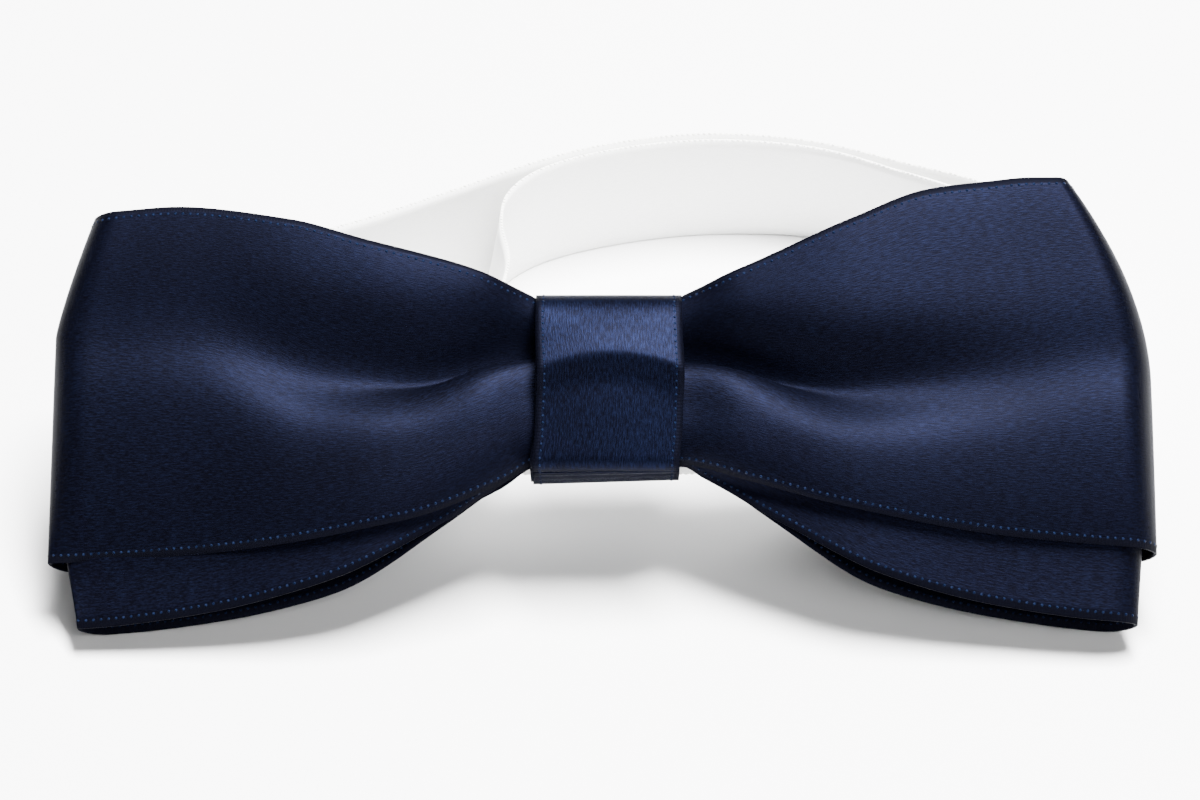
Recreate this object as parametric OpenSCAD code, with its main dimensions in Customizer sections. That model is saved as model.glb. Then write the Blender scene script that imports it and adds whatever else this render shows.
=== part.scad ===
// Ready-tied bow tie: two satin ribbon loops, one nested in the other,
// gathered by a centre band, on an open neck ribbon with hook, eye and slider.
// Units are millimetres. The bow leans back on its lower corners; +Z is up,
// -Y is the bow's front. "u, v, w" are across, up and out of the leaning bow.

/* [Bow loops] */
// Left half-length of the outer loop
loop_left = 57.3; // [48:0.1:66]
// Right half-length of the outer loop
loop_right = 56; // [47:0.1:65]
// How much shorter the inner loop is at each end
inner_short = 1.4; // [1.2:0.1:4]
// Height of the wide ribbon at the wings, against the drawn one
wing_height_scale = 1; // [0.8:0.01:1.2]
// Half-thickness of the outer loop at the waist
waist_half = 4.4; // [4.2:0.1:6]
// Half-thickness of the outer loop in the wings
wing_half = 5.5; // [4.6:0.1:8]
// Distance between the outer loop's ribbon and the inner one's
loop_gap = 1.1; // [0.9:0.05:1.5]
// Depth of the pleat down the front of the wings
pleat_depth = 3.7; // [1:0.1:3.9]
// Thickness of the wide ribbon
ribbon_t = 0.4; // [0.3:0.05:0.5]
// Length of the round fold at each wing's end
end_fold = 3.6; // [2.5:0.1:6]

/* [Stance] */
// Angle the bow leans back from upright
lean = 52; // [40:1:60]

/* [Centre band] */
// Width of the centre band's ribbon
band_w = 15; // [10:0.5:18]
// Half-height of the knot inside the band
knot_half_h = 8.9; // [8.8:0.1:12]
// Front of the knot inside the band, from the bow's middle
knot_front = 5.6; // [5.3:0.1:8]
// Back of the knot inside the band, from the bow's middle
knot_back = 7.4; // [7.3:0.1:9]
// Thickness of the band, two turns of ribbon
band_t = 0.9; // [0.6:0.1:1.2]
// Thickness of the wound thread under the band
binding_t = 0.4; // [0.3:0.05:0.45]
// Width of the wound thread
binding_w = 4; // [2:0.5:8]

/* [Neck ribbon] */
// Width of the neck ribbon
strap_w = 15; // [10:0.5:16]
// Thickness of the neck ribbon
strap_t = 0.4; // [0.25:0.05:0.5]
// How far the far arc of the neck ribbon stands behind the knot
arc_depth = 54.2; // [50:0.1:60]
// Distance between the two arms where they run side by side
arm_gap = 1.3; // [1:0.1:3]

/* [Fastener] */
// Height of the hook, eye and slider frames
frame_h = 19; // [18:0.5:22]
// Thickness of the hook's and the eye's sheet metal
metal_t = 1; // [0.6:0.1:1.4]
// Radius of the bar that the ribbon turns round
bar_r = 0.5; // [0.4:0.05:0.6]
// Clearance between that bar and the ribbon
bar_clear = 0.12; // [0.08:0.01:0.2]
// Clearance of the metal frames above and below the ribbon
slot_clear = 0.6; // [0.3:0.1:1]
// Width of the slider along the ribbon
slider_w = 5; // [4:0.5:7]
// Clearance of the slider off the doubled ribbon
slider_clear = 0.22; // [0.1:0.02:0.4]
// Length of the hook's tongue
tongue_l = 6; // [4:0.5:8]
// Width of the hook's tongue
tongue_w = 7; // [4:0.5:9]
// Gap inside the hook's bend
hook_gap = 1.3; // [1.1:0.1:2]
// Thickness of the sewing thread
thread_t = 0.35; // [0.2:0.05:0.5]

/* [Hidden] */
$fn = 32;
// the bow stands on the lower corners of the inner loop's back
corner_v = 25 * wing_height_scale;
// taller wings turn steeper, so the loops stand further apart to stay clear
loop_step = loop_gap * max(1, wing_height_scale);
corner_w = wing_half - 1.33;
knot_z = corner_v * cos(lean) + corner_w * sin(lean);
origin_x = -0.65;
origin_y = 17.9;
navy = [0.12, 0.15, 0.29];
white = [0.93, 0.93, 0.91];
steel = [0.72, 0.72, 0.74];

outer_top = [[-58, 18.0], [-52, 18.3], [-47, 18.5], [-33, 16.7], [-25, 14.4],
             [-15, 11.2], [-7.5, 8.2], [0, 8], [7.5, 8.2], [15, 11.8], [25, 16.6],
             [34, 20], [41, 20.9], [48, 21.4], [58, 21.4]];
outer_bottom = [[-58, -18.4], [-54, -18.3], [-36, -17.2], [-21, -13.6],
                [-11, -9.7], [-7.5, -8.2], [0, -8.1], [7.5, -8.2], [14, -10.4],
                [24.5, -13.6], [40, -16.2], [58, -17.6]];
inner_top = [[-58, 13], [-47, 13], [-33, 11.6], [-25, 10.7], [-15, 9.6],
             [-7.5, 7.9], [0, 7.7], [7.5, 7.9], [15, 10], [25, 12], [40, 14.6],
             [58, 15]];
inner_bottom = [[-58, -25.2], [-53, -25], [-41, -23.7], [-28, -20.6],
                [-17, -14.8], [-7.5, -8], [0, -7.8], [7.5, -8], [17.4, -14.6],
                [27.5, -20], [40, -23.2], [52, -24.7], [58, -24.9]];
crease = [[-58, 5.5], [-42, 4.5], [-29, 0.6], [-21, 0.2], [-7.5, 3], [0, 2.4],
          [7.5, 2.6], [25, -0.6], [40, 0.4], [51, 2.2], [58, 2.6]];

function smooth(e0, e1, x) =
    let (k = min(1, max(0, (x - e0) / (e1 - e0)))) k * k * (3 - 2 * k);
function grow(u) = 1 + (wing_height_scale - 1) * smooth(8, 30, abs(u));

// half-thickness of the loops' middle, and the shape of the front and back
function body_half(u) = waist_half + (wing_half - waist_half) * smooth(8, 26, abs(u));
function bell(x, s) = exp(-pow(x / s, 2));
function front_dip(u) = pleat_depth * (1 - 0.8 * smooth(10, 50, abs(u)));
function dip_width(u) = 2.3 + 2.6 * smooth(8, 45, abs(u));
function roll(u, v) =
    let (h = v > 0 ? lookup(u, outer_top) : -lookup(u, outer_bottom),
         r = 2 - 1.6 * smooth(8, 30, abs(u)))
    r * pow(min(1.05, abs(v) / h), 6);
function swell(u) = 1.1 * smooth(7, 14, abs(u)) * (1 - smooth(22, 44, abs(u)));
function front_w(u, v) = body_half(u) + swell(u) - roll(u, v)
    - (front_dip(u) + 0.6 * swell(u)) * bell(v - lookup(u, crease), dip_width(u));
function back_w(u, v) = body_half(u) - roll(u, v)
    - (1.9 - 1.3 * smooth(8, 40, abs(u))) * bell(v + 1, 3.2);

// how far the fold at a wing's end slants inward above the middle
function slant(u, t) = u < 0
    ? 5.3 / loop_left * pow(max(0, (t + 0.3) / 1.3), 1.5)
    : 7 / loop_right * pow(max(0, (t + 0.2) / 1.2), 1.3);

straight_n = 26;
fold_n = 7;
across_n = 10;

// stations round a loop: [across, 1 at the front to -1 at the back]
function stations(al, ar) = let (ul = al - end_fold, ur = ar - end_fold) concat(
    [for (i = [0 : straight_n]) [-ul + (ul + ur) * i / straight_n, 1]],
    [for (i = [1 : fold_n - 1]) let (q = 90 - 180 * i / fold_n)
        [ur + end_fold * cos(q), sin(q)]],
    [for (i = [0 : straight_n]) [ur - (ul + ur) * i / straight_n, -1]],
    [for (i = [1 : fold_n - 1]) let (q = -90 + 180 * i / fold_n)
        [-ul - end_fold * cos(q), sin(q)]]);

function loop_point(st, t, top, bottom, inset, half_l) =
    let (U = st[0], f = st[1],
         fold = lookup(U, crease),
         v = (t < 0 ? fold + (fold - lookup(U, bottom)) * t
                    : fold + (lookup(U, top) - fold) * t) * grow(U),
         u = U * (1 - slant(U, t) * pow(abs(U) / half_l, 3)),
         w = f >= 0 ? f * (front_w(U, v) - inset) : f * (back_w(U, v) - inset))
    [u, v, w];

function unit(a) = a / norm(a);
function lean_to(p) = [p[0],
    p[1] * sin(lean) - p[2] * cos(lean),
    p[1] * cos(lean) + p[2] * sin(lean) + knot_z];

// a closed band of ribbon: grid of points, thickened along its normals
module thick_ring(rows, t) {
    n = len(rows);
    m = len(rows[0]);
    nrm = [for (i = [0 : n - 1]) [for (j = [0 : m - 1])
        let (a = rows[(i + 1) % n][j] - rows[(i + n - 1) % n][j],
             b = rows[i][min(m - 1, j + 1)] - rows[i][max(0, j - 1)])
        unit(cross(a, b)) * t / 2]];
    pts = concat(
        [for (i = [0 : n - 1]) for (j = [0 : m - 1]) lean_to(rows[i][j] + nrm[i][j])],
        [for (i = [0 : n - 1]) for (j = [0 : m - 1]) lean_to(rows[i][j] - nrm[i][j])]);
    o = n * m;
    faces = concat(
        [for (i = [0 : n - 1]) for (j = [0 : m - 2]) let (k = (i + 1) % n) each [
            [i * m + j, i * m + j + 1, k * m + j + 1],
            [i * m + j, k * m + j + 1, k * m + j],
            [o + i * m + j, o + k * m + j + 1, o + i * m + j + 1],
            [o + i * m + j, o + k * m + j, o + k * m + j + 1]]],
        [for (i = [0 : n - 1]) let (k = (i + 1) % n) each [
            [i * m, k * m, o + k * m], [i * m, o + k * m, o + i * m],
            [i * m + m - 1, o + k * m + m - 1, k * m + m - 1],
            [i * m + m - 1, o + i * m + m - 1, o + k * m + m - 1]]]);
    polyhedron(points = pts, faces = faces, convexity = 8);
}

module ribbon_loop(al, ar, top, bottom, inset) {
    rows = [for (st = stations(al, ar)) [for (j = [0 : across_n])
        loop_point(st, -1 + 2 * j / across_n, top, bottom, inset,
                   st[0] < 0 ? al : ar)]];
    thick_ring(rows, ribbon_t);
}

module outer_loop() color(navy) place()
    ribbon_loop(loop_left, loop_right, outer_top, outer_bottom, 0);

module inner_loop() color(navy) place()
    ribbon_loop(loop_left - inner_short, loop_right - inner_short,
                inner_top, inner_bottom, loop_step);

module place() translate([-origin_x, -origin_y, 0]) children();
// outline of the knot in the v-w plane, grown by g, with its own back depth
function knot_pt(a, g, back) =
    let (c = cos(a), s = sin(a),
         v = (knot_half_h + g) * sign(s) * pow(abs(s), 0.62),
         w = c > 0 ? (knot_front + g) * pow(c, 0.42) : -(back + g) * pow(-c, 0.25))
    [v, w - (c > 0 ? 0.9 * bell(v - 2.2, 2.6) : 0)];
module knot_shape(g, back) polygon([for (i = [0 : 59]) knot_pt(i * 6, g, back)]);
// stands a v-w drawing up in the leaning bow, width wide across it
module across_bow(width)
    multmatrix([[0, 0, 1, 0], [sin(lean), -cos(lean), 0, 0],
                [cos(lean), sin(lean), 0, knot_z], [0, 0, 0, 1]])
    translate([0, 0, -width / 2]) linear_extrude(width) children();

module centre_band() color(navy) place() across_bow(band_w) difference() {
    knot_shape(band_t, knot_back);
    knot_shape(0, knot_back);
}

binding_back = waist_half + 1.1;
module binding_thread() color(navy) place() across_bow(binding_w) difference() {
    knot_shape(-0.05, binding_back);
    knot_shape(-0.05 - binding_t, binding_back);
}

// thread laid along a path of points, six-sided, with flat ends
module thread_along(path, r) {
    n = len(path);
    dirs = [for (i = [0 : n - 1])
        unit(path[min(n - 1, i + 1)] - path[max(0, i - 1)])];
    side = [for (d = dirs) unit(cross(d, abs(d[2]) > 0.9 ? [1, 0, 0] : [0, 0, 1]))];
    pts = [for (i = [0 : n - 1]) let (a = side[i], b = cross(dirs[i], side[i]))
        for (k = [0 : 5]) path[i] + r * (cos(60 * k) * a + sin(60 * k) * b)];
    faces = concat(
        [[for (k = [0 : 5]) k]],
        [[for (k = [5 : -1 : 0]) (n - 1) * 6 + k]],
        [for (i = [0 : n - 2]) for (k = [0 : 5]) let (m = (k + 1) % 6) each [
            [i * 6 + k, (i + 1) * 6 + m, i * 6 + m],
            [i * 6 + k, (i + 1) * 6 + k, (i + 1) * 6 + m]]]);
    polyhedron(points = pts, faces = faces, convexity = 8);
}

// zigzag running up the lapped ends at the back of a loop
module lap_seam(inset) thread_along([for (i = [0 : 12]) let (v = -5.4 + 0.9 * i)
    lean_to([i % 2 == 0 ? -1 : 1, v, -(back_w(0, v) - inset)])], thread_t * 0.3);
module outer_loop_seam() color(navy) place() lap_seam(loop_step / 2);
module inner_loop_seam() color(navy) place() lap_seam(loop_step + ribbon_t + 0.17);

module band_stitches() color(navy) place()
    thread_along([for (i = [0 : 10]) lean_to([4.4 + (i % 2 == 0 ? -0.6 : 0.6),
        -5 + i, -(knot_back + band_t + thread_t / 2 + 0.03)])], thread_t / 2);

strap_behind = 6.1;
module neck_ribbon_tack() color(white) place()
    thread_along([for (i = [0 : 12]) lean_to([-6.6 + 1.1 * i,
        4 + (i % 2 == 0 ? -0.5 : 0.5), -strap_behind + strap_t / 2 + thread_t * 0.45 + 0.05])],
        thread_t * 0.45);

// the neck ribbon's path: [x, y, height of lower edge, lean inwards]
turn_r = bar_r + bar_clear + strap_t / 2;
rise = frame_h / 2 + 0.3 - strap_w / 2;
knot_y = strap_behind * cos(lean);
knot_lift = knot_z - strap_behind * sin(lean) - strap_w / 2 * cos(lean)
    - strap_t / 2 * sin(lean);
hook_at = [-43.5, 20.8];
hook_dir = unit([-0.787, -0.617]);
eye_at = [41, 29];
eye_dir = [0, -1];
tail_hook = 16;
tail_eye = 8;
function right_of(d) = [d[1], -d[0]];
hook_main = hook_at + turn_r * right_of(hook_dir);
hook_tail = hook_at - turn_r * right_of(hook_dir);

far = arc_depth;
outer_far = far + arm_gap;
path = [
    [hook_main[0], hook_main[1], rise, 0],
    [hook_main[0] - 6 * hook_dir[0], hook_main[1] - 6 * hook_dir[1], rise, 0],
    [hook_main[0] - 14 * hook_dir[0], hook_main[1] - 14 * hook_dir[1], rise, 0],
    [-25.6, 35.8, 1.3, 1],
    [-17.6, 42.6, 0.3, 4],
    [-7.9, outer_far - 5.7, 0, 8],
    [1, outer_far - 2, 0, 8],
    [12, outer_far, 0, 9],
    [24, outer_far - 1.1, 0, 12],
    [34.2, outer_far - 5.3, 0, 13],
    [43.5, 44.6, 0, 8],
    [50.4, 36.5, 0, 5],
    [53, 26, 0, 4],
    [50, 16.6, 0, 3],
    [42, 11.6, 0.4, 7],
    [33, 9.4, 2.2, 20],
    [24, 7.2, 4.8, 35],
    [16, 5.1, 8.2, 47],
    [9, knot_y + 0.1, knot_lift - 0.1, lean],
    [4.5, knot_y, knot_lift, lean],
    [0, knot_y, knot_lift, lean],
    [-4.5, knot_y, knot_lift, lean],
    [-9, knot_y + 0.2, knot_lift - 0.2, lean],
    [-14.8, 6.8, 8.4, 49],
    [-18, 12.6, 6, 40],
    [-17.2, 20, 3.6, 29],
    [-14.8, 28, 1.5, 19],
    [-14.3, 36, 0.4, 11],
    [-12.6, 42.8, 0, 8],
    [-7.5, far - 5.9, 0, 8],
    [1, far - 2, 0, 8],
    [12, far, 0, 9],
    [24, far - 1.1, 0, 12],
    [33, far - 5.4, 0, 13],
    [39.4, 43, 0.7, 8],
    [41.6, 37.4, 1.9, 2],
    [eye_at[0] + turn_r, eye_at[1] + 4, rise, 0],
    [eye_at[0] + turn_r, eye_at[1], rise, 0]];

function spline(p0, p1, p2, p3, k) = 0.5 * ((2 * p1) + (p2 - p0) * k
    + (2 * p0 - 5 * p1 + 4 * p2 - p3) * k * k + (3 * p1 - p0 - 3 * p2 + p3) * k * k * k);
sub = 4;
smooth_path = concat([for (i = [0 : len(path) - 2]) for (j = [0 : sub - 1])
    spline(path[max(0, i - 1)], path[i], path[i + 1],
           path[min(len(path) - 1, i + 2)], j / sub)], [path[len(path) - 1]]);

// stations all the way along: [x, y, lift, lean, travel x, travel y]
function straight_run(from, d, length, n) = [for (i = [0 : n])
    [from[0] + d[0] * length * i / n, from[1] + d[1] * length * i / n,
     rise, 0, d[0], d[1]]];
function turn_run(at, d, n) = [for (i = [1 : n - 1]) let (a = 180 * i / n,
    out = right_of(d), r = sin(a) * d - cos(a) * out, t = cos(a) * d + sin(a) * out)
    [at[0] + turn_r * r[0], at[1] + turn_r * r[1], rise, 0, t[0], t[1]]];
main_run = [for (i = [0 : len(smooth_path) - 1]) let (
    a = smooth_path[max(0, i - 1)], b = smooth_path[min(len(smooth_path) - 1, i + 1)],
    d = unit([b[0] - a[0], b[1] - a[1]]), p = smooth_path[i])
    [p[0], p[1], max(0, p[2]), p[3], d[0], d[1]]];
run = concat(
    straight_run(hook_tail - tail_hook * hook_dir, hook_dir, tail_hook, 2),
    turn_run(hook_at, hook_dir, 8),
    main_run,
    turn_run(eye_at, eye_dir, 8),
    straight_run(eye_at + turn_r * right_of(eye_dir), -eye_dir, tail_eye, 2));

module neck_ribbon() color(white) place() {
    n = len(run);
    pts = [for (s = run) let (
        inward = [s[5], -s[4], 0],
        up = cos(s[3]) * [0, 0, 1] + sin(s[3]) * inward,
        out = -sin(s[3]) * [0, 0, 1] + cos(s[3]) * inward,
        c = [s[0], s[1], s[2] + strap_w / 2 * cos(s[3]) + strap_t / 2 * sin(s[3])])
        each [c + up * strap_w / 2 + out * strap_t / 2,
              c - up * strap_w / 2 + out * strap_t / 2,
              c - up * strap_w / 2 - out * strap_t / 2,
              c + up * strap_w / 2 - out * strap_t / 2]];
    faces = concat([[0, 1, 2], [0, 2, 3]],
        [for (i = [0 : n - 2]) for (k = [0 : 3]) let (m = (k + 1) % 4, a = 4 * i, b = a + 4)
            each [[a + k, b + k, b + m], [a + k, b + m, a + m]]],
        [[4 * n - 4, 4 * n - 2, 4 * n - 3], [4 * n - 4, 4 * n - 1, 4 * n - 2]]);
    polyhedron(points = pts, faces = faces, convexity = 8);
}

// zigzag bar tack up the ribbon, standing off to one side of a bar
function tack_path(at, d, side, along) = [for (i = [0 : 10])
    let (o = along + (i % 2 == 0 ? -0.5 : 0.5))
    [at[0] - d[0] * o + side[0], at[1] - d[1] * o + side[1],
     rise + strap_w / 2 - 6 + 1.2 * i]];
face_off = turn_r + strap_t / 2 + thread_t * 0.45 + 0.03;
module tail_hem_stitches() color(white) place()
    thread_along(tack_path(hook_at, hook_dir, -face_off * right_of(hook_dir), 14.9),
                 thread_t * 0.45);
module eye_loop_stitches() color(white) place()
    thread_along(tack_path(eye_at, eye_dir, face_off * right_of(eye_dir), 5.5),
                 thread_t * 0.45);

// sheet-metal outline in the x-z plane, centred on its thickness
module sheet(t) rotate([90, 0, 0]) translate([0, 0, -t / 2]) linear_extrude(t) children();
module round_rect(x0, y0, x1, y1, r) {
    translate([x0 + r, y0]) square([x1 - x0 - 2 * r, y1 - y0]);
    translate([x0, y0 + r]) square([x1 - x0, y1 - y0 - 2 * r]);
    for (x = [x0 + r, x1 - r]) for (y = [y0 + r, y1 - r]) translate([x, y]) circle(r);
}
slot_half = strap_w / 2 + slot_clear;
slot_end = 3;
module bar_frame(reach) {
    sheet(metal_t) difference() {
        round_rect(-bar_r, -frame_h / 2, reach, frame_h / 2, 1.2);
        translate([-3, -slot_half]) square([3 + slot_end, 2 * slot_half]);
        children();
    }
    translate([0, 0, -slot_half - 0.3]) cylinder(r = bar_r, h = 2 * slot_half + 0.6);
}
module set_at(at, d) translate([at[0], at[1], rise + strap_w / 2])
    rotate([0, 0, atan2(d[1], d[0])]) children();

plate_end = slot_end + 2.6;
bend_r = hook_gap / 2 + metal_t / 2;
module hook() color(steel) place() set_at(hook_at, hook_dir) {
    bar_frame(plate_end);
    translate([0, 0, -tongue_w / 2]) linear_extrude(tongue_w) {
        translate([plate_end - 1, -metal_t / 2]) square([tongue_l - 1.5, metal_t]);
        translate([plate_end + tongue_l - 6, -2 * bend_r - metal_t / 2])
            square([3.5, metal_t]);
        translate([plate_end + tongue_l - 2.5, -bend_r]) intersection() {
            difference() {
                circle(bend_r + metal_t / 2);
                circle(bend_r - metal_t / 2);
            }
            translate([0, -5]) square([5, 10]);
        }
    }
}

module eye() color(steel) place() set_at(eye_at, eye_dir)
    bar_frame(11.5) round_rect(plate_end, -tongue_w / 2 - 1.2, 9.7, tongue_w / 2 + 1.2, 1);

slider_rest = 6.5;
slider_in = turn_r + strap_t / 2 + slider_clear;
module slider() color(steel) place() set_at(hook_at, hook_dir)
    translate([-slider_rest - slider_w / 2, 0, 0]) rotate([90, 0, 90])
    linear_extrude(slider_w) difference() {
        round_rect(-slider_in - 0.7, -strap_w / 2 - slot_clear - 0.8,
                   slider_in + 0.7, strap_w / 2 + slot_clear + 0.8, 0.6);
        translate([-slider_in, -strap_w / 2 - slot_clear])
            square([2 * slider_in, strap_w + 2 * slot_clear]);
    }

outer_loop();
inner_loop();
outer_loop_seam();
inner_loop_seam();
binding_thread();
centre_band();
band_stitches();
neck_ribbon();
neck_ribbon_tack();
tail_hem_stitches();
eye_loop_stitches();
hook();
slider();
eye();
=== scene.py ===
import math

import bpy
import numpy as np
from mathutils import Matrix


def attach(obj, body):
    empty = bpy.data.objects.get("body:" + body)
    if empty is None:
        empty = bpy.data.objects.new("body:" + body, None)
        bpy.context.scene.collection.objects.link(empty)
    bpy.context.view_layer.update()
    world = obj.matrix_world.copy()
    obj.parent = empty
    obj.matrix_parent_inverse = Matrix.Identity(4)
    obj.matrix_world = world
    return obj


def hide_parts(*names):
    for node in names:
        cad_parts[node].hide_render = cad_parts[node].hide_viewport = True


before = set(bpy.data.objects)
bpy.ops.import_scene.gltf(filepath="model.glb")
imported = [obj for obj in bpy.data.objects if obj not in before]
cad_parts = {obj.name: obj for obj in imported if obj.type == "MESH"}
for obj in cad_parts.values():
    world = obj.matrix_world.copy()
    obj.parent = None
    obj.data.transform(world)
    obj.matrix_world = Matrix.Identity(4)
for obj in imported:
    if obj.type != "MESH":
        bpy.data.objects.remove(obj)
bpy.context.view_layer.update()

MM = 0.001

# ---------------------------------------------------------------- sizes, mm
# In the bow's own axes u runs along it, v up its leaning face and w out of that face,
# all from the middle of the knot.
LEAN = math.radians(52)
WIDE_RIBBON, NARROW_RIBBON, NECK_RIBBON = 38.0, 15.0, 15.0
RIBBON_T, NECK_RIBBON_T = 0.34, 0.3
LOOP_LEFT, LOOP_RIGHT, INNER_SHORT = 57.3, 56.0, 1.4
WAIST_HALF, WING_HALF, LOOP_GAP = 4.4, 5.5, 1.1
PLEAT_DEPTH, END_FOLD = 3.7, 3.6
CORNER_V, CORNER_W = 25.0, WING_HALF - 1.33
KNOT_Z = CORNER_V * math.cos(LEAN) + CORNER_W * math.sin(LEAN)
ORIGIN = np.array([-0.65, 17.9, 0.0])
BAND_HALF = NARROW_RIBBON / 2
KNOT_BACK = 8.2
STRAP_BEHIND = 6.1
FRAME_H, BAR_R, BAR_CLEAR, STRAP_T = 19.0, 0.5, 0.12, 0.4
ARC_DEPTH, ARM_GAP = 54.2, 1.3
HOOK_AT, EYE_AT = np.array([-43.5, 20.8]), np.array([41.0, 29.0])
HOOK_DIR = np.array([-0.787, -0.617]) / math.hypot(0.787, 0.617)
EYE_DIR = np.array([0.0, -1.0])

# Sizes that change along the bow: the value beside the knot, the value further out, and
# the two distances from the middle between which it changes.
BODY_HALF = (WAIST_HALF, WING_HALF, 8, 26)
PUFF_RISE, PUFF_FALL = (0, 0.9, 7, 14), (1, 0, 22, 44)
BACK_ROLL = (2.0, 0.4, 8, 30)
BACK_PINCH = (1.9, 0.6, 8, 40)
FOLD_OVER = (1, 0, 13, 32)
PLEAT_SHARE = (1, 0.2, 10, 50)
STEEP_SIDE = (1.6, 4.3, 8, 34)
TOP_CURL, LOW_CURL = (1.7, 0.4, 7.5, 13), (1.4, 0.5, 7.5, 26)
DOME_DEPTH = (2.2, 3.3, 10, 40)
LEFT_TURN_AWAY = (0, 1.8, 32, 60)
BACK_LIFT = (0.9, 0, 14, 30)

PUFF_IN_PLEAT = 0.6
GENTLE_SIDE_LEFT, GENTLE_SIDE_RIGHT = 5.9, 4.4
FOLD_DROP, FOLD_LAP, FOLD_LAP_HALF = 0.9, 1.9, 1.4
DOME_FROM, DOME_ROOM, DOME_MOST, FLARE_MOST = 3.0, 4.0, 1.2, 0.9
PINCH_V, PINCH_HALF = -1.0, 3.2
EDGE_MOST, EDGE_SHARPNESS = 1.05, 6
GATHER_DEPTH, GATHER_START, GATHER_FADE = 0.035, 7, 6.5
COARSE_GATHERS, FINE_GATHERS, FINE_SHARE = 9.5, 17, 0.6
GATHER_PHASE_LEFT, GATHER_PHASE_RIGHT = 0.7, 2.1
LEFT_SLANT, LEFT_SLANT_BOW = 3.6, 1.2
RIGHT_SLANT, RIGHT_SLANT_BOW, RIGHT_SLANT_FROM = 7.8, 1.9, 0.1
LEFT_TUCK, RIGHT_TUCK, TUCK_FROM, TUCK_TO = 2.0, 0.9, 0.6, 1.1
SLANT_AT_ENDS = 3

# Outlines of the bow's face as (u, v): edges of both loops, and the pleat's line.
OUTER_TOP = [(-58, 18.0), (-52, 18.3), (-47, 18.5), (-33, 16.7), (-25, 14.4),
             (-15, 11.9), (-10, 10.2), (-7.6, 9.3), (-6.4, 8.5), (0, 8.2), (6.4, 8.5),
             (7.6, 9.3), (10, 10.2), (15, 12.2), (25, 16.6), (34, 20), (41, 20.9), (48, 21.4), (58, 21.4)]
OUTER_BOTTOM = [(-58, -18.4), (-54, -18.3), (-36, -17.4), (-21, -14.9),
                (-11, -10.6), (-7.5, -8.4), (0, -8.3), (7.5, -8.4), (14, -10.4),
                (24.5, -13.6), (40, -16.2), (58, -17.6)]
INNER_TOP = [(-58, 13), (-47, 13), (-33, 11.6), (-25, 10.7), (-15, 9.6),
             (-7.5, 8.1), (0, 7.9), (7.5, 8.1), (15, 10), (25, 12), (40, 14.6),
             (58, 15)]
INNER_BOTTOM = [(-58, -25.2), (-53, -25), (-41, -23.7), (-28, -20.6),
                (-17, -14.8), (-10, -9.8), (-7.5, -8.3), (0, -8.0), (7.5, -8.3),
                (10, -9.8), (17.4, -14.6), (27.5, -20), (40, -23.2), (52, -24.7),
                (58, -24.9)]
CREASE = [(-58, 5.5), (-42, 4.5), (-29, 0.6), (-21, 0.2), (-7.5, 3), (0, 2.4),
          (7.5, 2.6), (25, -0.6), (40, 0.4), (51, 2.2), (58, 2.6)]


# ------------------------------------------------------------ plain geometry
def along(x, points):
    """A smooth curve through (x, y) points, with no overshoot."""
    px, py = np.array(points, float).T
    d = np.diff(py) / np.diff(px)
    m = np.zeros(len(px))
    same = d[:-1] * d[1:] > 0
    m[1:-1][same] = 2 * (d[:-1] * d[1:])[same] / (d[:-1] + d[1:])[same]
    m[0], m[-1] = d[0], d[-1]
    x = np.clip(x, px[0], px[-1])
    i = np.clip(np.searchsorted(px, x) - 1, 0, len(px) - 2)
    h = px[i + 1] - px[i]
    t = (x - px[i]) / h
    return ((2 * t**3 - 3 * t**2 + 1) * py[i] + (t**3 - 2 * t**2 + t) * h * m[i]
            + (3 * t**2 - 2 * t**3) * py[i + 1] + (t**3 - t**2) * h * m[i + 1])


def ease(a, b, x):
    k = np.clip((x - a) / (b - a), 0, 1)
    return k * k * (3 - 2 * k)


def bell(x, s):
    return np.exp(-((x / s) ** 2))


def lean_to(p):
    """u, v, w in the leaning bow, in mm, to the frame in metres."""
    u, v, w = p[..., 0], p[..., 1], p[..., 2]
    out = np.stack([u, v * math.sin(LEAN) - w * math.cos(LEAN),
                    v * math.cos(LEAN) + w * math.sin(LEAN) + KNOT_Z], -1)
    return (out - ORIGIN) * MM


def changing(size, u):
    near, far, start, end = size
    return near + (far - near) * ease(start, end, abs(u))


def edge_share(u, v):
    """0 in the middle of the face, -1 and 1 at the outer loop's edges."""
    return v / np.where(v > 0, along(u, OUTER_TOP), -along(u, OUTER_BOTTOM))


def near_edge(u, v):
    return np.minimum(EDGE_MOST, abs(edge_share(u, v))) ** EDGE_SHARPNESS


def puff(u):
    """The swelling of the face beside the knot."""
    return changing(PUFF_RISE, u) * changing(PUFF_FALL, u)


def gathers(u, v):
    """Small creases that fan out from the band."""
    fan = edge_share(u, v)
    phase = np.where(u < 0, GATHER_PHASE_LEFT, GATHER_PHASE_RIGHT)
    reach = np.exp(-np.maximum(0, abs(u) - GATHER_START) / GATHER_FADE)
    waves = np.sin(COARSE_GATHERS * fan + phase) + FINE_SHARE * np.sin(FINE_GATHERS * fan + 2 * phase)
    return GATHER_DEPTH * reach * waves


def above_pleat(u, v):
    """Height above the pleat's bottom, which drops where the pleat folds over itself."""
    return v - along(u, CREASE) + FOLD_DROP * changing(FOLD_OVER, u)


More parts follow.
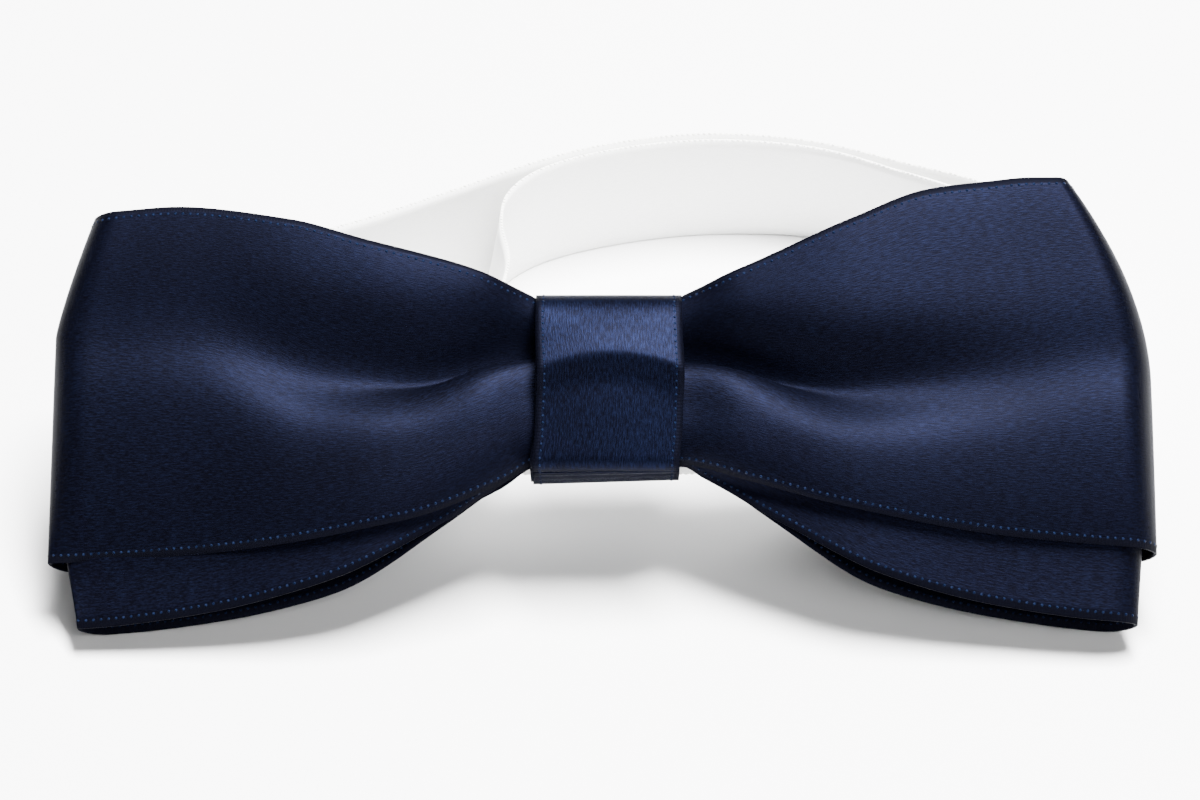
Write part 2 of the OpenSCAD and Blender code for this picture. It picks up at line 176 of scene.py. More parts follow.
def front_w(u, v, flare=False):
    off = above_pleat(u, v)
    dip = PLEAT_DEPTH * changing(PLEAT_SHARE, u) + PUFF_IN_PLEAT * puff(u)
    gentle_side = np.where(u < 0, GENTLE_SIDE_LEFT, GENTLE_SIDE_RIGHT)
    width = np.where(off < 0, changing(STEEP_SIDE, u), gentle_side)
    curl = near_edge(u, v) * np.where(v > 0, changing(TOP_CURL, u), changing(LOW_CURL, u))
    dome = np.minimum(0, off + DOME_FROM) / (DOME_ROOM - along(u, OUTER_BOTTOM))
    if flare:  # the inner loop turns up again below the outer one
        dome = FLARE_MOST * np.tanh(dome / FLARE_MOST)
    dome = changing(DOME_DEPTH, u) * np.minimum(dome**2, DOME_MOST)
    turn_away = changing(LEFT_TURN_AWAY, np.minimum(0, u))
    return (changing(BODY_HALF, u) + puff(u) - curl + gathers(u, v) - dome
            - dip * bell(off, width) - turn_away)


def back_w(u, v):
    roll = changing(BACK_ROLL, u) * near_edge(u, v)
    pinch = changing(BACK_PINCH, u) * bell(v - PINCH_V, PINCH_HALF)
    return changing(BODY_HALF, u) - roll - gathers(u, v) - pinch


def end_slant(u, t):
    """How far the loop's ends draw in towards the top, as a share of its length."""
    left = LEFT_SLANT / LOOP_LEFT * np.maximum(0, t) ** LEFT_SLANT_BOW
    rise = np.maximum(0, (t + RIGHT_SLANT_FROM) / (1 + RIGHT_SLANT_FROM))
    right = RIGHT_SLANT / LOOP_RIGHT * rise**RIGHT_SLANT_BOW
    return np.where(u < 0, left, right)


def loop_grid(left, right, top, bottom, inset, straight=112, fold=14, across=44):
    """Points round a flattened ribbon loop, front left to right and back again."""
    inner = inset > LOOP_GAP
    ul, ur = left - END_FOLD, right - END_FOLD
    s = np.linspace(-ul, ur, straight + 1)
    q = np.radians(90 - 180 * np.arange(1, fold) / fold)
    U = np.concatenate([s, ur + END_FOLD * np.cos(q), s[::-1], -ul - END_FOLD * np.cos(q)])
    f = np.concatenate([s * 0 + 1, np.sin(q), s * 0 - 1, -np.sin(q)])
    t = np.linspace(-1, 1, across + 1)
    U, t = np.meshgrid(U, t, indexing="ij")
    f = f[:, None]
    fold_v = along(U, CREASE)
    v = np.where(t < 0, fold_v + (fold_v - along(U, bottom)) * t,
                 fold_v + (along(U, top) - fold_v) * t)
    half = np.where(U < 0, left, right)
    tuck = ease(TUCK_FROM, TUCK_TO, -t) * np.where(U < 0, LEFT_TUCK, RIGHT_TUCK) * inner
    u = U * (1 - (end_slant(U, t) + tuck / half) * (abs(U) / half) ** SLANT_AT_ENDS)
    w = np.where(f >= 0, f * (front_w(U, v, inner) - inset), f * (back_w(U, v) - inset))
    v = v + np.where((f < 0) & (t < 0), changing(BACK_LIFT, U) * t * t, 0)
    lap = FOLD_LAP * changing(FOLD_OVER, U) ** 2 * bell(above_pleat(U, v) + FOLD_LAP, FOLD_LAP_HALF)
    v = v + np.maximum(0, f) * lap
    return lean_to(np.stack([u, v, w], -1))


# ------------------------------------------------------------------- camera
VIEW_UP, VIEW_FAR = math.radians(36.9), 420.0
AIM_ASIDE, AIM_BELOW_KNOT = -0.9, 1.3
SENSOR, VIEW_WIDTH = 36, 124.095
aim = (np.array([AIM_ASIDE, 0, KNOT_Z - AIM_BELOW_KNOT]) - ORIGIN) * MM
camera_data = bpy.data.cameras.new("camera")
camera = bpy.data.objects.new("camera", camera_data)
bpy.context.scene.collection.objects.link(camera)
camera.location = aim + VIEW_FAR * MM * np.array([0, -math.cos(VIEW_UP), math.sin(VIEW_UP)])
camera.rotation_euler = (math.pi / 2 - VIEW_UP, 0, 0)
camera_data.sensor_width = SENSOR
camera_data.lens = SENSOR * VIEW_FAR / VIEW_WIDTH
camera_data.clip_start = 0.01
bpy.context.scene.camera = camera


# ------------------------------------------------------------- node building
class Socket:
    """A value in a node tree. Sums and products on it add Math nodes."""

    def __init__(self, tree, link):
        self.tree, self.link = tree, link

    def math(self, operation, *others, clamp=False):
        inputs = {0: self}
        inputs.update({i + 1: o for i, o in enumerate(others)})
        return self.tree.node("ShaderNodeMath", {"operation": operation, "use_clamp": clamp},
                              inputs)[0]

    def __add__(self, o):
        return self.math("ADD", o)

    __radd__ = __add__

    def __mul__(self, o):
        return self.math("MULTIPLY", o)

    __rmul__ = __mul__

    def __sub__(self, o):
        return self.math("SUBTRACT", o)

    def __rsub__(self, o):
        return self.tree.node("ShaderNodeMath", {"operation": "SUBTRACT"}, {0: o, 1: self})[0]

    def __truediv__(self, o):
        return self.math("DIVIDE", o)

    def __abs__(self):
        return self.math("ABSOLUTE")

    def clamp(self):
        return self.math("ADD", 0.0, clamp=True)

    def above(self, level, soft):
        """0 below level, 1 above it, over a soft step."""
        return ((self - level) / soft + 0.5).clamp()


class Node:
    def __init__(self, tree, made):
        self.tree, self.made = tree, made

    def __getitem__(self, key):
        return Socket(self.tree, self.made.outputs[key])


class Tree:
    """A node tree and the one way that nodes are added to it."""

    def __init__(self, nodes_and_links):
        self.nodes, self.links = nodes_and_links.nodes, nodes_and_links.links

    def node(self, kind, settings=None, inputs=None):
        made = self.nodes.new(kind)
        for key, value in (settings or {}).items():
            setattr(made, key, value)
        for key, value in (inputs or {}).items():
            if isinstance(value, Socket):
                self.links.new(value.link, made.inputs[key])
            else:
                made.inputs[key].default_value = value
        return Node(self, made)

    def blend_colour(self, factor, a, b):
        mix = self.node("ShaderNodeMix", {"data_type": "RGBA"}, {0: factor, 6: a, 7: b})
        return mix[2]


def material(name):
    made = bpy.data.materials.new(name)
    made.use_nodes = True
    made.node_tree.nodes.clear()
    return made, Tree(made.node_tree)


def finish_material(tree, settings):
    shader = tree.node("ShaderNodeBsdfPrincipled", None, settings)
    tree.node("ShaderNodeOutputMaterial", None, {"Surface": shader["BSDF"]})


def ribbon_place(tree):
    """Along and across the ribbon, in mm, from the piece's own UV map."""
    uv = tree.node("ShaderNodeUVMap", {"uv_map": "ribbon"})["UV"]
    apart = tree.node("ShaderNodeSeparateXYZ", None, {0: uv})
    return apart["X"] * 1000.0, apart["Y"] * 1000.0


def noise(tree, x, y, scale_x, scale_y, detail=2.0):
    place = tree.node("ShaderNodeCombineXYZ", None, {"X": x * scale_x, "Y": y * scale_y})
    return tree.node("ShaderNodeTexNoise", {"noise_dimensions": "2D"},
                     {"Vector": place[0], "Scale": 1.0, "Detail": detail,
                      "Roughness": 0.5})["Fac"]


EDGE_TINT = (0.12, 0.14, 0.25, 1)
# Satin: sizes of its floats, fine yarns and clouds, as waves per mm along and across
FLOAT_WAVES, YARN_WAVES, CLOUD_WAVES = (0.9, 7.5), (2.4, 16.0), (0.05, 0.12)
FLOAT_SHARE, YARN_SHARE, SPECK_LEVEL, SPECK_CONTRAST = 0.55, 0.45, 0.4, 2.6
CLOUD_CONTRAST, YARN_GLOSS, BORDER_GLOSS, BORDER_TONE = 0.35, 0.18, 0.12, 0.75
BORDER_W, BORDER_SOFT, RIB_WAVES, RIB_HEIGHT = 0.62, 0.12, 18.0, 0.3
FLOAT_HEIGHT, YARN_HEIGHT, WEAVE_DEPTH, WEAVE_BUMP = 0.8, 0.6, 0.06 * MM, 0.35


def satin(name, deep, lit, half_width, metallic, rough, sheen, edge_tone, float_depth=1.0):
    """Satin ribbon: long floats lying along it, and a plain-woven border."""
    made, tree = material(name)
    x, y = ribbon_place(tree)
    floats = noise(tree, x, y, *FLOAT_WAVES)
    yarns = noise(tree, x, y, *YARN_WAVES, detail=1.0)
    cloud = noise(tree, x, y, *CLOUD_WAVES)
    speck = (floats * FLOAT_SHARE + yarns * YARN_SHARE - SPECK_LEVEL) * SPECK_CONTRAST
    light = (speck + (cloud - 0.5) * CLOUD_CONTRAST).clamp()
    border = abs(y).above(half_width - BORDER_W, BORDER_SOFT)
    colour = tree.blend_colour(light, deep, lit)
    colour = tree.blend_colour(border * BORDER_TONE, colour, edge_tone)
    ribs = (x * RIB_WAVES).math("SINE") * border * RIB_HEIGHT
    height = floats * FLOAT_HEIGHT + yarns * YARN_HEIGHT + ribs
    bump = tree.node("ShaderNodeBump", None,
                     {"Strength": WEAVE_BUMP * float_depth, "Distance": WEAVE_DEPTH,
                      "Height": height})
    finish_material(tree, {
        "Base Color": colour,
        "Roughness": rough + (yarns - 0.5) * YARN_GLOSS + border * BORDER_GLOSS,
        "Metallic": metallic, "Sheen Weight": sheen, "Sheen Roughness": 0.45,
        "Specular IOR Level": 0.1, "Specular Tint": EDGE_TINT, "Normal": bump["Normal"]})
    return made


# Thread: turns of the ply per mm along and round it, and the hairs on it
PLY_ALONG, PLY_ROUND, PLY_SHARE = 9.0, 6.283, 0.7
HAIR_WAVES, HAIR_SHARE, HAIR_HEIGHT, HAIR_GLOSS = (4.0, 3.0), 0.3, 0.4, 0.2


def thread(name, dark, light, shine=(1, 1, 1, 1)):
    """Two-ply sewing thread."""
    made, tree = material(name)
    x, y = ribbon_place(tree)
    ply = (x * PLY_ALONG + y * PLY_ROUND).math("SINE") * 0.5 + 0.5
    hair = noise(tree, x, y, *HAIR_WAVES)
    bump = tree.node("ShaderNodeBump", None, {"Strength": 0.8, "Distance": 0.08 * MM,
                                              "Height": ply + hair * HAIR_HEIGHT})
    finish_material(tree, {
        "Base Color": tree.blend_colour((ply * PLY_SHARE + hair * HAIR_SHARE).clamp(), dark, light),
        "Roughness": 0.5 + hair * HAIR_GLOSS, "Specular IOR Level": 0.15,
        "Specular Tint": shine, "Normal": bump["Normal"]})
    return made


RUB_SCALE, STAIN_SCALE, RUB_DEPTH = 900.0, 160.0, 0.02 * MM
NICKEL_DULL, NICKEL_BRIGHT = (0.36, 0.345, 0.32, 1), (0.52, 0.5, 0.465, 1)


def nickel(name):
    """Bright plating with fine rubbing marks."""
    made, tree = material(name)
    place = tree.node("ShaderNodeTexCoord")["Object"]
    rub = tree.node("ShaderNodeTexNoise", None,
                    {"Vector": place, "Scale": RUB_SCALE, "Detail": 3.0})["Fac"]
    stain = tree.node("ShaderNodeTexNoise", None,
                      {"Vector": place, "Scale": STAIN_SCALE, "Detail": 2.0})["Fac"]
    bump = tree.node("ShaderNodeBump", None,
                     {"Strength": 0.12, "Distance": RUB_DEPTH, "Height": rub})
    finish_material(tree, {
        "Base Color": tree.blend_colour(stain, NICKEL_DULL, NICKEL_BRIGHT),
        "Roughness": 0.16 + stain * 0.14, "Metallic": 1.0, "Normal": bump["Normal"]})
    return made


NAVY_DEEP, NAVY_LIT = (0.0011, 0.0011, 0.0025, 1), (0.0026, 0.0034, 0.0096, 1)
# Painted highlight: the band's lit colour is about half again as bright as the wings' lit navy, so the
# whole band comes out brighter to stand in for the stronger light on it
BAND_DEEP, BAND_LIT_PAINTED_HIGHLIGHT = (0.0011, 0.0012, 0.0030, 1), (0.0035, 0.0050, 0.0156, 1)
NAVY_EDGE = (0.0016, 0.0016, 0.0031, 1)
SATIN_METAL, SATIN_ROUGH, BAND_ROUGH = 0.6, 0.5, 0.46
navy_satin = satin("navy_satin", NAVY_DEEP, NAVY_LIT, WIDE_RIBBON / 2, SATIN_METAL, SATIN_ROUGH,
                   0.0, NAVY_EDGE)
# The band's satin, brightened all over by that painted highlight
band_satin_painted_highlight = satin("band_satin_painted_highlight", BAND_DEEP, BAND_LIT_PAINTED_HIGHLIGHT, BAND_HALF, SATIN_METAL, BAND_ROUGH,
                   0.0, NAVY_EDGE)
white_satin = satin("white_satin", (0.86, 0.86, 0.85, 1), (0.94, 0.94, 0.93, 1),
                    NECK_RIBBON / 2, 0.0, 0.5, 0.1, (0.92, 0.92, 0.91, 1), 0.6)
picot_navy = thread("picot_navy", (0.0008, 0.0022, 0.0085, 1), (0.0022, 0.0050, 0.0160, 1), EDGE_TINT)
picot_white = thread("picot_white", (0.8, 0.8, 0.77, 1), (0.9, 0.9, 0.87, 1))
navy_thread = thread("navy_thread", (0.001, 0.0015, 0.004, 1), (0.003, 0.005, 0.015, 1),
                     EDGE_TINT)
white_thread = thread("white_thread", (0.7, 0.7, 0.68, 1), (0.88, 0.88, 0.86, 1))
plating = nickel("nickel_plate")


# ------------------------------------------------------------ ribbon meshes
def ribbon_mesh(name, rows, width, closed, finish, thickness=RIBBON_T):
    """A ribbon from a grid of points: rows along it, columns across it."""
    n, m = rows.shape[:2]
    mid = rows[:, m // 2]
    step = np.linalg.norm(np.diff(np.vstack([mid, mid[:1]]), axis=0), axis=1)
    run = np.concatenate([[0], np.cumsum(step)])
    side = np.linspace(-0.5, 0.5, m) * width * MM
    last = n if closed else n - 1
    faces, uvs = [], []
    for i in range(last):
        k = (i + 1) % n
        for j in range(m - 1):
            faces.append((i * m + j, k * m + j, k * m + j + 1, i * m + j + 1))
            uvs += [(run[i], side[j]), (run[i + 1], side[j]),
                    (run[i + 1], side[j + 1]), (run[i], side[j + 1])]
    mesh = bpy.data.meshes.new(name)
    mesh.from_pydata(rows.reshape(-1, 3).tolist(), [], faces)
    layer = mesh.uv_layers.new(name="ribbon")
    layer.data.foreach_set("uv", np.array(uvs, np.float32).ravel())
    mesh.shade_smooth()
    made = bpy.data.objects.new(name, mesh)
    bpy.context.scene.collection.objects.link(made)
    mesh.materials.append(finish)
    wall = made.modifiers.new("thickness", "SOLIDIFY")
    wall.thickness, wall.offset = thickness * MM, 0
    wall.use_even_offset = False
    return made


def grid_normals(rows, closed):
    if closed:
        du = np.roll(rows, -1, 0) - np.roll(rows, 1, 0)
    else:
        du = np.gradient(rows, axis=0)
    dv = np.gradient(rows, axis=1)
    nrm = np.cross(du, dv)
    return nrm / np.maximum(1e-12, np.linalg.norm(nrm, axis=-1, keepdims=True))


def selvedge_line(name, rows, closed, inset):
    """The line of a ribbon's two edge rows, with the cloth's normal on it."""
    nrm = grid_normals(rows, closed)
    cross = np.linalg.norm(np.diff(rows, axis=1), axis=-1)
    points, normals, edges = [], [], []
    for flip in (False, True):
        r, nn, c = (rows[:, ::-1], nrm[:, ::-1], cross[:, ::-1]) if flip else (rows, nrm, cross)
        dist = np.concatenate([np.zeros((len(r), 1)), np.cumsum(c, axis=1)], axis=1)
        base = len(points)
        for i in range(len(r)):
            k = np.searchsorted(dist[i], inset * MM)
            k = max(1, min(k, r.shape[1] - 1))
            f = (inset * MM - dist[i, k - 1]) / (dist[i, k] - dist[i, k - 1])
            points.append(r[i, k - 1] * (1 - f) + r[i, k] * f)
            normals.append(nn[i, k])
        edges += [(base + i, base + i + 1) for i in range(len(r) - 1)]
        if closed:
            edges.append((base + len(r) - 1, base))
    mesh = bpy.data.meshes.new(name)
    mesh.from_pydata([p.tolist() for p in points], edges, [])
    attribute = mesh.attributes.new("cloth_normal", "FLOAT_VECTOR", "POINT")
    attribute.data.foreach_set("vector", np.array(normals, np.float32).ravel())
    made = bpy.data.objects.new(name, mesh)
    bpy.context.scene.collection.objects.link(made)
    return made


def new_group(name, sizes):
    """A Geometry Nodes tree with named inputs."""
    group = bpy.data.node_groups.new(name, "GeometryNodeTree")
    face = group.interface
    face.new_socket("Geometry", in_out="INPUT", socket_type="NodeSocketGeometry")
    for label, value in sizes.items():
        kind = "NodeSocketMaterial" if label == "Material" else "NodeSocketFloat"
        item = face.new_socket(label, in_out="INPUT", socket_type=kind)
        if label != "Material":
            item.default_value = value
    face.new_socket("Geometry", in_out="OUTPUT", socket_type="NodeSocketGeometry")
    return group


def bake_nodes(line, group, sizes, name, finish):
    """Runs a Geometry Nodes tree on a line and keeps its result as a plain mesh."""
    modifier = line.modifiers.new("made", "NODES")
    modifier.node_group = group
    for item in group.interface.items_tree:
        if item.in_out == "INPUT" and item.name in sizes:
            modifier[item.identifier] = sizes[item.name]
    line.update_tag()
    bpy.context.view_layer.update()
    graph = bpy.context.evaluated_depsgraph_get()
    mesh = bpy.data.meshes.new_from_object(line.evaluated_get(graph))
    mesh.name = name
    made = bpy.data.objects.new(name, mesh)
    bpy.context.scene.collection.objects.link(made)
    if not mesh.materials:
        mesh.materials.append(finish)
    mesh.shade_smooth()
    bpy.data.objects.remove(line)
    return made


def picot_group():
    """Small woven knots set along a ribbon's edge."""
    group = new_group("picot_row", {"Pitch": 0.9 * MM, "Length": 0.5 * MM,
                                    "Breadth": 0.4 * MM, "Height": 0.5 * MM,
                                    "Material": None})
    tree = Tree(group)
    start = tree.node("NodeGroupInput")
    line = tree.node("GeometryNodeMeshToCurve", None, {"Mesh": start["Geometry"]})
    spaced = tree.node("GeometryNodeResampleCurve", {"mode": "LENGTH"},
                       {"Curve": line["Curve"], "Length": start["Pitch"]})
    bead = tree.node("GeometryNodeMeshUVSphere", None,
                     {"Segments": 6, "Rings": 4, "Radius": 0.5})
    size = tree.node("ShaderNodeCombineXYZ", None,
                     {"X": start["Length"], "Y": start["Breadth"], "Z": start["Height"]})
    tangent = tree.node("GeometryNodeInputTangent")
    normal = tree.node("GeometryNodeInputNamedAttribute", {"data_type": "FLOAT_VECTOR"},
                       {"Name": "cloth_normal"})
    forward = tree.node("FunctionNodeAlignRotationToVector", {"axis": "X"},
                        {"Vector": tangent["Tangent"]})
    turned = tree.node("FunctionNodeAlignRotationToVector", {"axis": "Z", "pivot_axis": "X"},
                       {"Rotation": forward["Rotation"], "Vector": normal["Attribute"]})
    placed = tree.node("GeometryNodeInstanceOnPoints", None,
                       {"Points": spaced["Curve"], "Instance": bead["Mesh"],
                        "Rotation": turned["Rotation"], "Scale": size[0]})
    real = tree.node("GeometryNodeRealizeInstances", None, {"Geometry": placed["Instances"]})
    done = tree.node("GeometryNodeSetMaterial", None,
                     {"Geometry": real["Geometry"], "Material": start["Material"]})
    tree.node("NodeGroupOutput", None, {"Geometry": done["Geometry"]})
    return group


def thread_group():
    """A round thread that follows a line."""
    group = new_group("thread_run", {"Radius": 0.17 * MM, "Material": None})
    tree = Tree(group)
    start = tree.node("NodeGroupInput")
    line = tree.node("GeometryNodeMeshToCurve", None, {"Mesh": start["Geometry"]})
    section = tree.node("GeometryNodeCurvePrimitiveCircle", {"mode": "RADIUS"},
                        {"Resolution": 8, "Radius": start["Radius"]})
    tube = tree.node("GeometryNodeCurveToMesh", None,
                     {"Curve": line["Curve"], "Profile Curve": section["Curve"],
                      "Fill Caps": True})
    real = tree.node("GeometryNodeRealizeInstances", None, {"Geometry": tube["Mesh"]})
    done = tree.node("GeometryNodeSetMaterial", None,
                     {"Geometry": real["Geometry"], "Material": start["Material"]})
    tree.node("NodeGroupOutput", None, {"Geometry": done["Geometry"]})
    return group


PICOTS, THREAD = picot_group(), thread_group()
HEIGHT_LEAN = 0.4


def give_place(piece):
    """A UV map for beads and threads: along x and y, and up the piece by height."""
    mesh = piece.data
    for layer in list(mesh.uv_layers):
        mesh.uv_layers.remove(layer)
    layer = mesh.uv_layers.new(name="ribbon")
    co = np.zeros(len(mesh.vertices) * 3, np.float32)
    mesh.vertices.foreach_get("co", co)
    co = co.reshape(-1, 3)
    which = np.zeros(len(mesh.loops), np.int32)
    mesh.loops.foreach_get("vertex_index", which)
    x, y, z = co[which].T
    layer.data.foreach_set("uv", np.stack([x + y, z + y * HEIGHT_LEAN], -1).ravel())


def picots(name, rows, closed, finish, pitch, size, inset):
    line = selvedge_line(name + "_line", rows, closed, inset)
    made = bake_nodes(line, PICOTS, {"Pitch": pitch * MM, "Length": size[0] * MM,
                                     "Breadth": size[1] * MM, "Height": size[2] * MM,
                                     "Material": finish}, name, finish)
    give_place(made)
    return made


def thread_along(name, points, radius, finish):
    mesh = bpy.data.meshes.new(name + "_line")
    mesh.from_pydata([tuple(p) for p in points], [(i, i + 1) for i in range(len(points) - 1)], [])
    line = bpy.data.objects.new(name + "_line", mesh)
    bpy.context.scene.collection.objects.link(line)
    made = bake_nodes(line, THREAD, {"Radius": radius * MM, "Material": finish}, name, finish)
    give_place(made)
    return made


# ------------------------------------------------------------------ the bow
HALF_T = RIBBON_T / 2 + 0.02
WIDE_PICOT, WIDE_PITCH, PICOT_INSET = (0.46, 0.44, 0.5), 0.78, 0.78
SEAM_R, STITCH_R = 0.13, 0.12
outer_rows = loop_grid(LOOP_LEFT - HALF_T, LOOP_RIGHT - HALF_T, OUTER_TOP, OUTER_BOTTOM, HALF_T)
inner_rows = loop_grid(LOOP_LEFT - INNER_SHORT - HALF_T, LOOP_RIGHT - INNER_SHORT - HALF_T,
                       INNER_TOP, INNER_BOTTOM, LOOP_GAP + HALF_T)
outer = ribbon_mesh("outer_loop_ribbon", outer_rows, WIDE_RIBBON, True, navy_satin)
inner = ribbon_mesh("inner_loop_ribbon", inner_rows, WIDE_RIBBON, True, navy_satin)
outer_picots = picots("outer_loop_picots", outer_rows, True, picot_navy, WIDE_PITCH,
                      WIDE_PICOT, PICOT_INSET)
inner_picots = picots("inner_loop_picots", inner_rows, True, picot_navy, WIDE_PITCH,
                      WIDE_PICOT, PICOT_INSET)


def zigzag(count, start, step, swing):
    """Offsets of a zigzag seam: (along, aside) pairs."""
    return [(start + step * i, swing if i % 2 else -swing) for i in range(count)]


SEAM_COUNT, SEAM_FROM, SEAM_STEP, SEAM_SWING = 25, -6.6, 0.55, 0.9


def lap_seam(name, inset):
    points = []
    for v, aside in zigzag(SEAM_COUNT, SEAM_FROM, SEAM_STEP, SEAM_SWING):
        w = -(float(back_w(np.array(0.0), np.array(v))) - inset)
        points.append(lean_to(np.array([aside, v, w])))
    return thread_along(name, points, SEAM_R, navy_thread)


outer_seam = lap_seam("outer_loop_seam_thread", LOOP_GAP / 2)
inner_seam = lap_seam("inner_loop_seam_thread", LOOP_GAP + 0.5)

# ------------------------------------------------------- binding and the band
# The band's line round the knot as (v, w), from its top over the front, under and up the back
BAND_LINE = [(8.9, 0.0), (8.8, 2.4), (8.45, 4.0), (7.4, 4.95), (5.2, 5.15), (3, 5.15),
             (0.5, 5.15), (-2, 5.1), (-4.5, 4.8), (-7.6, 4.3), (-8.5, 4.05),
             (-8.8, 3.7), (-8.85, 3.1), (-8.9, 2.8), (-9.05, 2.6), (-9.15, 2.2),
             (-9.15, 0), (-8.95, -3), (-7.9, -6.2), (-5.5, -7.25), (0, -7.4),
             (5.5, -7.4), (8.1, -6.5), (8.8, -4.0)]
BAND_STEPS, BAND_COLUMNS, CURVE_STEPS = 260, 30, 24
BAND_START, BAND_END = -0.42, 1.5  # in turns round the knot
UNDER_LAYER, LAYER_STEP, LAYER_FROM, LAYER_TO = 0.2, 0.42, 0.55, 0.85
UNDER_FROM, UNDER_TO = 0.6, 0.8
LOW_V, LOW_HALF, FRONT_FROM, FRONT_TO = -9.0, 2.2, 1.5, 4.0
SHIFT_UNDER, SHIFT_LOW, SHIFT_FRONT, SHIFT_HALF = 0.25, 0.3, 0.18, 3.0
CREST_V, CREST_ARCH, ARCH_FROM, ARCH_TO = 1.5, 1.6, 3, 8
LOBE_H, LOBE_FROM, LOBE_HALF = 1.35, 0.7, 2.0
SLOPE, SLOPE_ROUND, SLOPE_START = 0.4, 3.0, 1.73
TIP_LIFT, TIP_SLANT, BELLY = 0.6, 0.25, 0.12
BAND_PICOT, BAND_PITCH = (0.4, 0.4, 0.5), 0.72


def between(a, b, c, d, k):
    """A point on the smooth curve from b to c, with a before it and d after it."""
    return 0.5 * (2 * b + (c - a) * k + (2 * a - 5 * b + 4 * c - d) * k * k
                  + (3 * b - a - 3 * c + d) * k**3)


def closed_curve(points, count):
    """A smooth closed curve through points, evenly spaced, and its outward normals."""
    p = np.array(points, float)
    n = len(p)
    fine = []
    for i in range(n):
        a, b, c, d = p[i - 1], p[i], p[(i + 1) % n], p[(i + 2) % n]
        fine += [between(a, b, c, d, k) for k in np.linspace(0, 1, CURVE_STEPS, endpoint=False)]
    fine = np.array(fine + fine[:1])
    run = np.concatenate([[0], np.cumsum(np.linalg.norm(np.diff(fine, axis=0), axis=1))])
    s = np.linspace(0, run[-1], count, endpoint=False)
    q = np.stack([np.interp(s, run, fine[:, 0]), np.interp(s, run, fine[:, 1])], -1)
    t = np.roll(q, -1, 0) - np.roll(q, 1, 0)
    t /= np.linalg.norm(t, axis=1, keepdims=True)
    out = np.stack([-t[:, 1], t[:, 0]], -1)
    return q, out if out[0][0] > 0 else -out


def band_row(turn, line, out):
    """Points across the band, after so many turns round the knot."""
    v, w = line + out * (UNDER_LAYER + LAYER_STEP * ease(LAYER_FROM, LAYER_TO, turn))
    under = 1 - ease(UNDER_FROM, UNDER_TO, turn)
    low = bell(v - LOW_V, LOW_HALF)
    front = ease(FRONT_FROM, FRONT_TO, w)
    u = np.linspace(-BAND_HALF, BAND_HALF, BAND_COLUMNS + 1)
    shift = (SHIFT_FRONT * (1 - under) * bell(v, SHIFT_HALF) * front
             - (SHIFT_UNDER * under + SHIFT_LOW) * low)
    arch = CREST_ARCH * (u / BAND_HALF) ** 2 * (1 - ease(ARCH_FROM, ARCH_TO, v))
    crest = v - CREST_V + arch
    slope = np.sqrt(np.maximum(0, crest) ** 2 + SLOPE_ROUND) - SLOPE_START
    lobe = LOBE_H * bell(np.minimum(0, crest - LOBE_FROM), LOBE_HALF) - SLOPE * slope
    tip = low * (TIP_LIFT + TIP_SLANT * u / BAND_HALF) * (1 - front)
    belly = BELLY * np.cos(u / BAND_HALF * math.pi / 2)
    return np.stack([u + shift, v + tip, w + (lobe + belly) * front], -1)


band_line, band_out = closed_curve(BAND_LINE, BAND_STEPS)
stations = range(int(BAND_START * BAND_STEPS), int(BAND_END * BAND_STEPS) + 1)
band_rows = lean_to(np.array([
    band_row(station / BAND_STEPS, band_line[station % BAND_STEPS], band_out[station % BAND_STEPS])
    for station in stations]))
band = ribbon_mesh("centre_band_ribbon", band_rows, NARROW_RIBBON, False, band_satin_painted_highlight)
band_picots = picots("centre_band_picots", band_rows, False, picot_navy, BAND_PITCH,
                     BAND_PICOT, PICOT_INSET)

BINDING_W, BINDING_PITCH, BINDING_R, BINDING_TURNS, TURN_STEPS = 4.0, 0.36, 0.17, 10, 48
BINDING_HALF_H, BINDING_FRONT, BINDING_BACK = 8.63, 4.6, 5.2
SQUARE_TOP, SQUARE_FRONT, SQUARE_BACK = 0.62, 0.42, 0.25
BINDING_DIP, BINDING_DIP_V, BINDING_DIP_HALF = 0.5, 2.2, 2.6


def binding_point(i):
    """One point of the thread wound round the waist."""
    a = 2 * math.pi * i / TURN_STEPS
    c, s = math.cos(a), math.sin(a)
    u = (BINDING_W - BINDING_PITCH) * (i / (BINDING_TURNS * TURN_STEPS) - 0.5)
    v = BINDING_HALF_H * math.copysign(abs(s) ** SQUARE_TOP, s)
    dip = BINDING_DIP * bell(v - BINDING_DIP_V, BINDING_DIP_HALF)
    w = BINDING_FRONT * c**SQUARE_FRONT - dip if c > 0 else -BINDING_BACK * (-c) ** SQUARE_BACK
    return lean_to(np.array([u, v, w]))


wound = [binding_point(i) for i in range(BINDING_TURNS * TURN_STEPS + 1)]
binding = thread_along("binding_thread_turns", wound, BINDING_R, navy_thread)

CLOSING_U = 4.4
closing_points = [lean_to(np.array([CLOSING_U + aside, v, -KNOT_BACK]))
                  for v, aside in zigzag(21, -5.0, 0.5, 0.6)]
band_stitch = thread_along("band_stitch_thread", closing_points, SEAM_R, navy_thread)

# ------------------------------------------------------------- neck ribbon
TURN_R = BAR_R + BAR_CLEAR + STRAP_T / 2
RISE = FRAME_H / 2 + 0.3 - NECK_RIBBON / 2  # of the ribbon's lower edge at its ends
KNOT_Y = STRAP_BEHIND * math.cos(LEAN)
KNOT_LIFT = (KNOT_Z - STRAP_BEHIND * math.sin(LEAN) - NECK_RIBBON / 2 * math.cos(LEAN)
             - STRAP_T / 2 * math.sin(LEAN))


def right_of(d):
    return np.array([d[1], -d[0]])


